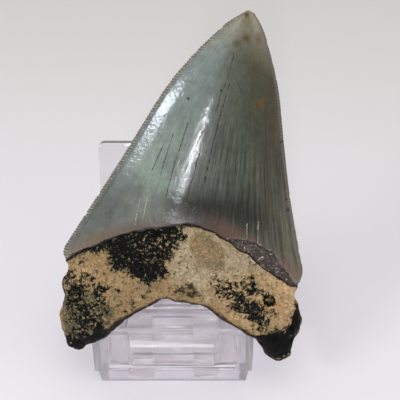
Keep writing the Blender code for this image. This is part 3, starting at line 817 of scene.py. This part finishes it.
rootFinish = {
    "tan": "#9b8561",
    "warm": "#a4855c",
    "pale": "#b5a587",
    # peach: partly the root's own paler tan and partly painted light on the lobes
    "peachAndPaintedLight": "#c8a97f",
    "olive": "#5e5b42",
    "rust": "#a4713f",
    "black": "#070708",
    "fleck": "#a0936a",
    "dimFleck": "#57563c",
    "dimSand": "#736a50",
    "sand": "#9c7f5b",
    "sandGlint": "#bfa57a",
    # brown: the pores' and folds' dark colour, also used as painted shade along the root's lower edge and
    # under the enamel's edge
    "brown": "#241a15",
    "roughness": 0.72,
    "crustRoughness": 0.6,
    "ior": 1.5,
    "gloss": 0.12,
    # noise: mm from one lump to the next, its own shift, detail and swirl
    "clouds": {
        "patch": (6.0, 0.0, 4.0, 0.0),
        "island": (3.2, 31.0, 3.0, 0.5),
        "speck": (1.2, 11.0, 4.0, 0.6),
        "fleck": (0.9, 23.0, 3.0, 0.3),
        "grain": (0.5, 5.0, 3.0, 0.0),
    },
    "cloudRoughness": 0.7,
    "porePitch": 1.0,
    # how much one thing counts when it is added to another
    "weights": {"olive": 0.45, "arch": 2.5, "line": 0.6, "crust": 0.36, "island": 0.55, "fleck": -0.14},
    # where each thing begins and is full, and what those two become if not 0 and 1
    "spans": {
        "warm": (0.40, 0.62),
        "rust": (0.15, 0.55, 0.0, 0.8),
        "olive": (0.66, 0.86, 0.0, 0.9),
        "shade": (0.32, 0.68, 0.62, 1.30),
        "mottle": (0.36, 0.64, 1.18, 0.74),
        "pore": (0.67, 0.55, 0.0, 0.75),
        "fold": (0.15, 0.7, 0.0, 0.85),
        "sand": (0.42, 0.58),
        "glint": (0.54, 0.68),
        # arch: painted shade, dark brown along the root's rounded lower edge
        "arch": (4.4, 3.6, 0.0, 0.96),
        # line: painted shadow, a thin dark line on the root just under the enamel's edge
        "line": (-0.35, -0.05),
        "crust": (0.93, 0.965),
        "fleck": (0.44, 0.50, 0.0, 0.9),
        "bright": (0.44, 0.54),
    },
    # the relief: how high the grain stands in mm, and the rest against it
    "bumpHeight": 0.5,
    "bumps": {"speck": 0.6, "crust": 0.3, "pore": -0.7},
}


def makeRootFinish():
    # fossil root: porous dentine, matt and tan, stained in patches and crusted with black manganese
    look = rootFinish
    weights = look["weights"]
    material, tree = newMaterial("porous fossil dentine")
    point = toothPoint(tree)
    field = readFields(tree, "crust", "olive", "rust", "grey", "peachAndPaintedLight", "sand", "fold", "archGap", "rise")
    cloud = {}
    for name, (pitch, shift, detail, swirl) in look["clouds"].items():
        moved = addNode(tree, "ShaderNodeVectorMath", {0: point, 1: (shift, shift, 0)})
        cloud[name] = addNoise(tree, moved, pitch, detail, look["cloudRoughness"], swirl)
    pores = addNode(tree, "ShaderNodeTexVoronoi", {"Vector": point, "Scale": 1 / look["porePitch"]})

    # tan stone with its stains, in lighter and darker grains
    rustSum = calculate(tree, "MULTIPLY", field["rust"], cloud["speck"])
    oliveSum = calculate(tree, "MULTIPLY_ADD", field["olive"], weights["olive"], cloud["fleck"])
    body = toLinear(look["tan"])
    for share, color in (
        (mapSpan(tree, look, "warm", cloud["patch"]), "warm"),
        (field["peachAndPaintedLight"], "peachAndPaintedLight"),
        (field["grey"], "pale"),
        (mapSpan(tree, look, "rust", rustSum), "rust"),
        (mapSpan(tree, look, "olive", oliveSum), "olive"),
    ):
        body = blend(tree, share, body, look[color])
    for span, source in (("shade", "grain"), ("mottle", "speck")):
        body = blend(tree, 1.0, body, mapSpan(tree, look, span, cloud[source]), "MULTIPLY")

    # pores, folds, the sandy patch with its glints, and the dark edges, which are painted shade along the
    # root's rounded lower edge and a painted shadow under the enamel's edge
    poreShare = mapSpan(tree, look, "pore", calculate(tree, "ADD", pores, cloud["grain"]))
    # the folds are dark brown: partly their own stain and partly painted shade in their creases
    foldStainAndShadeShare = mapSpan(tree, look, "fold", field["fold"])
    sandTone = blend(tree, mapSpan(tree, look, "sand", cloud["speck"]), look["dimSand"], look["sand"])
    sandTone = blend(tree, mapSpan(tree, look, "glint", cloud["grain"]), sandTone, look["sandGlint"])
    undersideShadeSum = calculate(tree, "MULTIPLY_ADD", cloud["speck"], weights["arch"], field["archGap"])
    enamelEdgeShadowSum = calculate(tree, "MULTIPLY_ADD", cloud["fleck"], weights["line"], field["rise"])
    undersideShadeShare = mapSpan(tree, look, "arch", undersideShadeSum)
    enamelEdgeShadowShare = mapSpan(tree, look, "line", enamelEdgeShadowSum)

    # black crust in grains, closed up where its field is strong, with tan flecks left in it
    crustSum = calculate(tree, "MULTIPLY_ADD", field["crust"], weights["crust"], cloud["speck"])
    crustSum = calculate(tree, "MULTIPLY_ADD", cloud["island"], weights["island"], crustSum)
    crustShare = mapSpan(tree, look, "crust", crustSum)
    fleckSum = calculate(tree, "MULTIPLY_ADD", field["crust"], weights["fleck"], cloud["fleck"])
    fleckTone = blend(tree, mapSpan(tree, look, "bright", cloud["patch"]), look["dimFleck"], look["fleck"])
    crustTone = blend(tree, mapSpan(tree, look, "fleck", fleckSum), look["black"], fleckTone)
    for share, tone in (
        (poreShare, look["brown"]), (foldStainAndShadeShare, look["brown"]), (field["sand"], sandTone),
        (undersideShadeShare, look["brown"]), (enamelEdgeShadowShare, look["brown"]), (crustShare, crustTone),
    ):
        body = blend(tree, share, body, tone)

    roughness = addNode(tree, "ShaderNodeMapRange", {
        "Value": crustShare, "To Min": look["roughness"], "To Max": look["crustRoughness"],
    })
    height = cloud["grain"]
    for source, name in ((cloud["speck"], "speck"), (crustShare, "crust"), (poreShare, "pore")):
        height = calculate(tree, "MULTIPLY_ADD", source, look["bumps"][name], height)
    addSurface(tree, height, look["bumpHeight"], {
        "Base Color": body, "Roughness": roughness, "IOR": look["ior"], "Specular IOR Level": look["gloss"],
    })
    return material


enamelFinish = {
    # from the left edge to the right, high on the crown and low: the enamel's own colour, with lighter stops
    # round the middle that are painted sheen beside the ridge's highlight and a darker right that is partly
    # painted shade
    "highStopsAndPaintedLight": (
        (0, "#6f7b78"), (0.2, "#73807a"), (0.38, "#737e78"), (0.5, "#5c6056"), (0.68, "#464a3b"),
        (1, "#3d3521"),
    ),
    "lowStopsAndPaintedLight": (
        (0, "#575e58"), (0.14, "#5a615a"), (0.33, "#7a8077"), (0.5, "#595e55"), (0.68, "#51564c"),
        (1, "#5e5c4b"),
    ),
    "bandStops": ((0, "#7d6a55"), (0.35, "#4f3f34"), (0.5, "#21150d"), (0.68, "#5c4537"), (1, "#665646")),
    "tip": "#8a856e",
    "dusk": "#2c2d26",
    "green": "#839285",
    "amber": "#584624",
    "darkRim": "#5b574b",
    "paleRim": "#aaa38e",
    # line: painted shadow along the enamel's lower edge; also the black streaks in the scar
    "line": "#1f1712",
    "darkCrack": "#23231f",
    "paleCrack": "#bcae94",
    "scar": "#30251c",
    "scarGrey": "#54483f",
    "scarGlint": "#b9b0a6",
    "roughness": 0.15,
    "bandRoughness": 0.3,
    "scarRoughness": 0.35,
    "ior": 1.6,
    # noise: mm from one lump to the next, detail and swirl
    "clouds": {"mottle": (5.0, 4.0, 0.0), "cloud": (1.8, 3.0, 0.5), "wear": (0.7, 3.0, 0.0)},
    "cloudRoughness": 0.6,
    # growth lines: mm from one to the next, how long they run, and how much they darken
    "streaks": {"line": (1.1, 18.0, 0.5), "hair": (0.45, 5.0, 0.3)},
    "streakSpan": (0.34, 0.60),
    # how finely the cracks break up, across and along the growth lines, and how much of them that takes
    "dashScale": (0.6, 0.625),
    "crackBreak": 1.3,
    "crackEdge": (1.25, 0.55),
    "crackShift": 0.005,
    # how much one thing counts when it is added to another
    "weights": {
        "drift": 0.24, "dusk": 0.85, "bandStreak": -5.0, "bandAcross": -3.5, "line": -0.8, "combGap": 0.45,
        "combCloud": 0.9, "combWear": -4.6, "rim": 1.6, "wobble": 0.010,
    },
    # where each thing begins and is full, and what those two become if not 0 and 1
    "spans": {
        "low": (36.0, 12.0),
        "tip": (47.0, 61.0, 0.0, 0.88),
        "green": (0.15, 0.55),
        "amber": (0.12, 0.6),
        "linesRight": (0.45, 0.58),
        "linesLow": (0.62, 0.35),
        "lineDepth": (0.0, 1.0, 0.2, 1.0),
        "mottled": (0.3, 0.7, 0.77, 1.09),
        "band": (1.2, -2.4, 0.0, 0.92),
        # line: where the painted shadow along the enamel's edge lies
        "line": (0.15, -0.1),
        "comb": (-2.78, -3.12),
        "rightRim": (0.45, 0.55, 0.0, 0.7),
        "rim": (2.5, 1.7, 0.0, 0.72),
        "scarCloud": (0.42, 0.58),
        "scarDark": (0.50, 0.42),
        "scarFleck": (0.62, 0.68),
        "lip": (0.47, 0.55, 0.0, 0.8),
        "dashes": (0.42, 0.68),
        "onFront": (0.05, -0.05),
    },
    # the pale lip round the scar: where it stands in the scar's soft border, and how wide it is
    "lip": (0.25, 0.16),
    # the relief: its height in mm, and how much each thing counts in it
    "bumpHeight": 0.3,
    "bumps": {
        "hair": 0.4, "lines": 0.10, "cloud": 0.18, "wear": 0.09, "dark": -0.5, "pale": -0.3, "comb": 0.25,
        "scar": 1.6,
    },
    # cracks along the growth lines: across from and to, crown share from and to, half width in mm
    "darkCracks": (
        (0.497, 0.496, 0.53, 0.62, 0.11), (0.503, 0.517, 0.62, 0.7, 0.14), (0.517, 0.495, 0.69, 0.79, 0.16),
        (0.533, 0.525, 0.11, 0.2, 0.09), (0.525, 0.524, 0.2, 0.36, 0.2), (0.524, 0.528, 0.36, 0.51, 0.16),
        (0.528, 0.537, 0.51, 0.65, 0.11), (0.635, 0.573, 0.64, 0.675, 0.12),
        (0.384, 0.371, 0.14, 0.25, 0.12), (0.371, 0.348, 0.25, 0.48, 0.13),
        (0.319, 0.284, 0.25, 0.45, 0.13), (0.424, 0.451, 0.24, 0.44, 0.09), (0.47, 0.47, 0.1, 0.34, 0.17),
        (0.739, 0.745, 0.17, 0.3, 0.1), (0.265, 0.255, 0.28, 0.4, 0.12),
    ),
    "paleCracks": (
        (0.301, 0.27, 0.03, 0.16, 0.1), (0.328, 0.3, 0.03, 0.17, 0.1), (0.731, 0.733, 0.055, 0.125, 0.14),
        (0.784, 0.792, 0.065, 0.165, 0.13),
    ),
    # small dark spots: across, up and radius in mm on the tooth's plane
    "spots": ((-2.9, 69.9, 0.45), (23.1, 40.3, 0.8), (20.9, 58.5, 0.7), (22.6, 43.2, 0.6), (5.4, 72.0, 0.5)),
}


def addCrack(tree, look, crack, share, wobble, dashes, width):
    # one broken line along the growth lines, as a share of 0 to 1
    start, end, low, high, half = crack
    middle = addNode(tree, "ShaderNodeMapRange", {
        "Value": share, "From Min": low, "From Max": high,
        "To Min": start + look["crackShift"], "To Max": end + look["crackShift"],
    })
    off = calculate(tree, "ABSOLUTE", calculate(tree, "SUBTRACT", wobble, middle))
    off = calculate(tree, "MULTIPLY", off, width)
    off = calculate(tree, "MULTIPLY_ADD", dashes, look["crackBreak"] * half, off)
    outer, inner = (edge * half for edge in look["crackEdge"])
    line = addNode(tree, "ShaderNodeMapRange", {"Value": off, "From Min": outer, "From Max": inner})
    within = calculate(tree, "COMPARE", share, (low + high) / 2, (high - low) / 2)
    return calculate(tree, "MULTIPLY", line, within)


def makeEnamelFinish():
    # mineralised enamel: glassy and smooth, grown in fine lines from the root to the tip
    look = enamelFinish
    weights = look["weights"]
    bumps = look["bumps"]
    material, tree = newMaterial("mineralised enamel")
    point = toothPoint(tree)
    growth = addNode(tree, "ShaderNodeUVMap", uv_map="growth")
    split = addNode(tree, "ShaderNodeSeparateXYZ", {"Vector": growth}).node
    across = calculate(tree, "DIVIDE", split.outputs[0], tooth["width"])
    share = calculate(tree, "DIVIDE", split.outputs[1], tooth["crownRise"])
    rise = split.outputs[1]
    field = readFields(tree, "width", "edgeGap", "edgeRun", "scar", "dusk", "green", "amber")
    mottle, cloud, wear = (
        addNoise(tree, point, pitch, detail, look["cloudRoughness"], swirl)
        for pitch, detail, swirl in look["clouds"].values()
    )
    streak = {}
    for name, (pitch, length, _) in look["streaks"].items():
        along = addNode(tree, "ShaderNodeMapping", {"Vector": growth, "Scale": (1 / pitch, 1 / length, 1.0)})
        streak[name] = addNoise(tree, along, 1.0, 2.0, look["cloudRoughness"])

    # broad colour: blue-grey at the left, olive at the right, tan at the tip, with stains; lighter in the
    # middle by a painted sheen and darker at the right partly by painted shade
    drift = calculate(tree, "MULTIPLY_ADD", mottle, weights["drift"], across)
    drift = calculate(tree, "SUBTRACT", drift, weights["drift"] / 2)
    highToneAndPaintedLight = addNode(tree, "ShaderNodeValToRGB", {"Fac": drift}, stops=look["highStopsAndPaintedLight"])
    lowToneAndPaintedLight = addNode(tree, "ShaderNodeValToRGB", {"Fac": drift}, stops=look["lowStopsAndPaintedLight"])
    body = blend(tree, mapSpan(tree, look, "low", rise), highToneAndPaintedLight, lowToneAndPaintedLight)
    for coat, color in (
        (mapSpan(tree, look, "tip", rise), "tip"),
        (mapSpan(tree, look, "green", calculate(tree, "MULTIPLY", field["green"], mottle)), "green"),
        (calculate(tree, "MULTIPLY", field["dusk"], weights["dusk"]), "dusk"),
        (mapSpan(tree, look, "amber", calculate(tree, "MULTIPLY", field["amber"], mottle)), "amber"),
    ):
        body = blend(tree, coat, body, look[color])

    # growth lines, strongest in the lower right half
    linesRight = mapSpan(tree, look, "linesRight", across)
    lined = calculate(tree, "MULTIPLY", linesRight, mapSpan(tree, look, "linesLow", share))
    lineDepth = mapSpan(tree, look, "lineDepth", lined)
    body = blend(tree, 1.0, body, mapSpan(tree, look, "mottled", cloud), "MULTIPLY")
    for name, (_, _, strength) in look["streaks"].items():
        shade = addNode(tree, "ShaderNodeMapRange", {
            "Value": streak[name], "From Min": look["streakSpan"][0], "From Max": look["streakSpan"][1],
            "To Min": 1.0 - strength, "To Max": 1.0 + strength / 3,
        })
        body = blend(tree, lineDepth, body, shade, "MULTIPLY")

    # the thin brown band above the root, and the dark line where the enamel ends, a painted shadow along the
    # enamel's edge
    bandSum = calculate(tree, "MULTIPLY_ADD", streak["line"], weights["bandStreak"], rise)
    bandSum = calculate(tree, "MULTIPLY_ADD", across, weights["bandAcross"], bandSum)
    bandShare = mapSpan(tree, look, "band", bandSum)
    bandTone = addNode(tree, "ShaderNodeValToRGB", {"Fac": across}, stops=look["bandStops"])
    enamelEdgeShadowSum = calculate(tree, "MULTIPLY_ADD", wear, weights["line"], rise)
    body = blend(tree, bandShare, body, bandTone)
    body = blend(tree, mapSpan(tree, look, "line", enamelEdgeShadowSum), body, look["line"])

    # serrations: pale teeth with dark gaps, one to each cut of the edge
    comb = calculate(tree, "MULTIPLY_ADD", field["edgeGap"], weights["combGap"], field["edgeRun"])
    comb = calculate(tree, "MULTIPLY_ADD", cloud, weights["combCloud"], comb)
    comb = calculate(tree, "MULTIPLY", comb, 2 * math.pi / tooth["serrationPitch"])
    comb = calculate(tree, "MULTIPLY_ADD", wear, weights["combWear"], calculate(tree, "COSINE", comb))
    combShare = mapSpan(tree, look, "comb", comb)
    paleTone = blend(tree, mapSpan(tree, look, "rightRim", across), look["paleRim"], look["darkRim"])
    rimTone = blend(tree, combShare, look["darkRim"], paleTone)
    rimSum = calculate(tree, "MULTIPLY_ADD", wear, weights["rim"], field["edgeGap"])
    rimShare = mapSpan(tree, look, "rim", rimSum)
    body = blend(tree, rimShare, body, rimTone)

    # the scar along the root at the right, where the enamel has flaked off: streaky brown, black and grey
    scarTone = blend(tree, mapSpan(tree, look, "scarCloud", cloud), look["scar"], look["scarGrey"])
    scarTone = blend(tree, mapSpan(tree, look, "scarDark", wear), scarTone, look["line"])
    scarTone = blend(tree, mapSpan(tree, look, "scarFleck", wear), scarTone, look["scarGlint"])
    onLip = calculate(tree, "COMPARE", field["scar"], *look["lip"])
    lipShare = calculate(tree, "MULTIPLY", onLip, mapSpan(tree, look, "lip", cloud))
    body = blend(tree, field["scar"], body, scarTone)
    body = blend(tree, lipShare, body, look["paleCrack"])

    # cracks that follow the growth lines, and small spots
    wobble = calculate(tree, "MULTIPLY_ADD", wear, weights["wobble"], across)
    along = addNode(tree, "ShaderNodeMapping", {"Vector": growth, "Scale": (*look["dashScale"], 1.0)})
    dashes = mapSpan(tree, look, "dashes", addNoise(tree, along, 1.0, 4.0, 0.8))
    marks = {"dark": 0.0, "pale": 0.0}
    for kind in marks:
        for crack in look[kind + "Cracks"]:
            line = addCrack(tree, look, crack, share, wobble, dashes, field["width"])
            marks[kind] = calculate(tree, "MAXIMUM", marks[kind], line)
    flat = addNode(tree, "ShaderNodeVectorMath", {0: point, 1: (1, 0, 1)}, operation="MULTIPLY")
    for u, v, radius in look["spots"]:
        far = addNode(tree, "ShaderNodeVectorMath", {0: flat, 1: (u, 0, v)}, 1, operation="DISTANCE")
        spot = addNode(tree, "ShaderNodeMapRange", {"Value": far, "From Min": radius, "From Max": radius / 2})
        marks["dark"] = calculate(tree, "MAXIMUM", marks["dark"], spot)
    onFront = mapSpan(tree, look, "onFront", addNode(tree, "ShaderNodeSeparateXYZ", {"Vector": point}, 1))
    for kind in marks:
        marks[kind] = calculate(tree, "MULTIPLY", marks[kind], onFront)
        body = blend(tree, marks[kind], body, look[kind + "Crack"])

    roughness = addNode(tree, "ShaderNodeMapRange", {
        "Value": bandShare, "To Min": look["roughness"], "To Max": look["bandRoughness"],
    })
    roughness = calculate(tree, "MULTIPLY_ADD", field["scar"], look["scarRoughness"], roughness)
    height = calculate(tree, "MULTIPLY_ADD", streak["hair"], bumps["hair"], streak["line"])
    height = calculate(tree, "MULTIPLY", height, lineDepth)
    height = calculate(tree, "MULTIPLY", height, bumps["lines"])
    toothed = calculate(tree, "MULTIPLY", combShare, rimShare)
    scarred = calculate(tree, "MULTIPLY", wear, field["scar"])
    for source, name in (
        (cloud, "cloud"), (wear, "wear"), (marks["dark"], "dark"), (marks["pale"], "pale"), (toothed, "comb"),
        (scarred, "scar"),
    ):
        height = calculate(tree, "MULTIPLY_ADD", source, bumps[name], height)
    addSurface(tree, height, look["bumpHeight"], {
        "Base Color": body, "Roughness": roughness, "IOR": look["ior"],
    })
    return material


def toothPoint(tree):
    # the tooth's own plane in mm: x across, y through it, z up it
    return addNode(tree, "ShaderNodeMapping", {
        "Vector": addNode(tree, "ShaderNodeTexCoord", out=3),
        "Location": home + Vector(tooth["seat"]) * mm,
        "Rotation": (-math.radians(tooth["lean"]), 0, 0),
        "Scale": (mm, mm, mm),
    }, vector_type="TEXTURE")


stand = {
    "base_moulding": {
        "node": "stand_base",
        "slot": "clear_moulding",
        # the material and how clear it is, where it is polished and where the mould leaves it frosted
        "clear": ("moulded polystyrene", 0.84),
        "frosted": ("frosted polystyrene", 0.25),
        "easedEdge": 0.35,
        # front edges that are rounder and frosted: axis, place along it, radius
        "frostedEdges": ((2, 15.6, 0.8), (2, 6.6, 0.4), (2, 11.0, 0.45), (2, 7.6, 0.3), (0, -26.3, 0.4),
                         (0, 10.7, 0.4)),
        "ior": 1.5,
        "tint": "#f0edef",
        "cloudTint": "#e4dfe3",
        "shadowTint": "#f8f5f6",
        # mm from one cloud or scuff to the next; where each begins and is full, and how rough the scuffs are
        "cloudPitch": 9.0,
        "scuffPitch": 3.0,
        "spans": {"cloud": (0.35, 0.65), "scuff": (0.4, 0.7, 0.11, 0.17)},
        # the height of its waves in mm, and how much a scuff adds to them
        "wave": 0.04,
        "scuffHeight": 0.08,
    },
    "panel_sheet": {
        "node": "back_panel",
        "slot": "clear_sheet",
        "clear": ("polished acrylic sheet", 0.95),
        "easedEdge": 0.2,
        "ior": 1.49,
        "tint": "#fbf9fa",
        "cloudTint": "#f3f0f2",
        "shadowTint": "#fdfcfc",
        "cloudPitch": 16.0,
        "scuffPitch": 2.2,
        "spans": {"cloud": (0.35, 0.65), "scuff": (0.4, 0.7, 0.03, 0.08)},
        "wave": 0.02,
        "scuffHeight": 0.08,
    },
}


def makeClearPlastic(look, kind):
    # clear plastic: sharp where it is polished, faintly milky and scuffed where it was moulded or handled
    name, clarity = look[kind]
    material, tree = newMaterial(name)
    point = addNode(tree, "ShaderNodeMapping", {
        "Vector": addNode(tree, "ShaderNodeTexCoord", out=3), "Location": home, "Scale": (mm, mm, mm),
    }, vector_type="TEXTURE")
    cloud = addNoise(tree, point, look["cloudPitch"], 3.0)
    drawn = addNode(tree, "ShaderNodeMapping", {"Vector": point, "Scale": (0.5, 1.0, 1.0)})
    scuff = addNoise(tree, drawn, look["scuffPitch"], 4.0, 0.7)
    tone = blend(tree, mapSpan(tree, look, "cloud", cloud), look["tint"], look["cloudTint"])
    height = calculate(tree, "MULTIPLY_ADD", scuff, look["scuffHeight"], cloud)
    bump = addNode(tree, "ShaderNodeBump", {"Height": height, "Distance": look["wave"] * mm, "Strength": 1.0})
    clear = addNode(tree, "ShaderNodeBsdfPrincipled", {
        "Base Color": tone, "Roughness": mapSpan(tree, look, "scuff", scuff), "IOR": look["ior"],
        "Transmission Weight": clarity, "Normal": bump,
    })
    # shadows pass through it, a little tinted
    through = addNode(tree, "ShaderNodeBsdfTransparent", {"Color": toLinear(look["shadowTint"])})
    shadowRay = addNode(tree, "ShaderNodeLightPath", out=1)
    shader = addNode(tree, "ShaderNodeMixShader", {0: shadowRay, 1: clear, 2: through})
    addNode(tree, "ShaderNodeOutputMaterial", {"Surface": shader})
    return material


def selectFrontEdges(piece, axis, place, near=0.05 * mm, behind=2.2 * mm):
    # the edges near the front of the stand whose two ends share a place along an axis
    bpy.ops.mesh.select_mode(type="EDGE")
    bpy.ops.mesh.select_all(action="DESELECT")
    bpy.ops.object.mode_set(mode="OBJECT")
    points = [vertex.co for vertex in piece.data.vertices]
    for edge in piece.data.edges:
        ends = [points[corner] for corner in edge.vertices]
        edge.select = all(abs(end[axis] - place) < near and end.y < home.y + behind for end in ends)
    bpy.ops.object.mode_set(mode="EDIT")


def makeStand():
    # each plastic piece is a copy of its solid, merged, with its sharp edges eased as a mould leaves them
    for name, look in stand.items():
        piece = bpy.data.objects.new(name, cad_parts[look["node"]].data.copy())
        bpy.context.scene.collection.objects.link(piece)
        piece.data.materials.clear()
        for kind in ("clear", "frosted"):
            if kind in look:
                piece.data.materials.append(makeClearPlastic(look, kind))
        selectOnly(piece)
        mergePoints()
        bpy.ops.mesh.dissolve_limited(angle_limit=math.radians(1))
        for axis, place, radius in look.get("frostedEdges", ()):
            selectFrontEdges(piece, axis, home[axis] + place * mm)
            bpy.ops.mesh.bevel(offset=radius * mm, segments=4, affect="EDGES", material=1)
        bpy.ops.object.mode_set(mode="OBJECT")
        eased = piece.modifiers.new("eased edges", "BEVEL")
        eased.width = look["easedEdge"] * mm
        eased.segments = 2
        eased.limit_method = "ANGLE"
        eased.angle_limit = math.radians(30)
        bpy.ops.object.modifier_apply(modifier=eased.name)
        bpy.ops.object.shade_smooth_by_angle(angle=math.radians(35))
        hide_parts(look["node"])
        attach(piece, "root")
        print("eased:", name, len(piece.data.polygons), "faces")


bpy.context.scene.view_settings.view_transform = "Standard"
makeCamera()
makeStudio()
makeTooth()
makeStand()
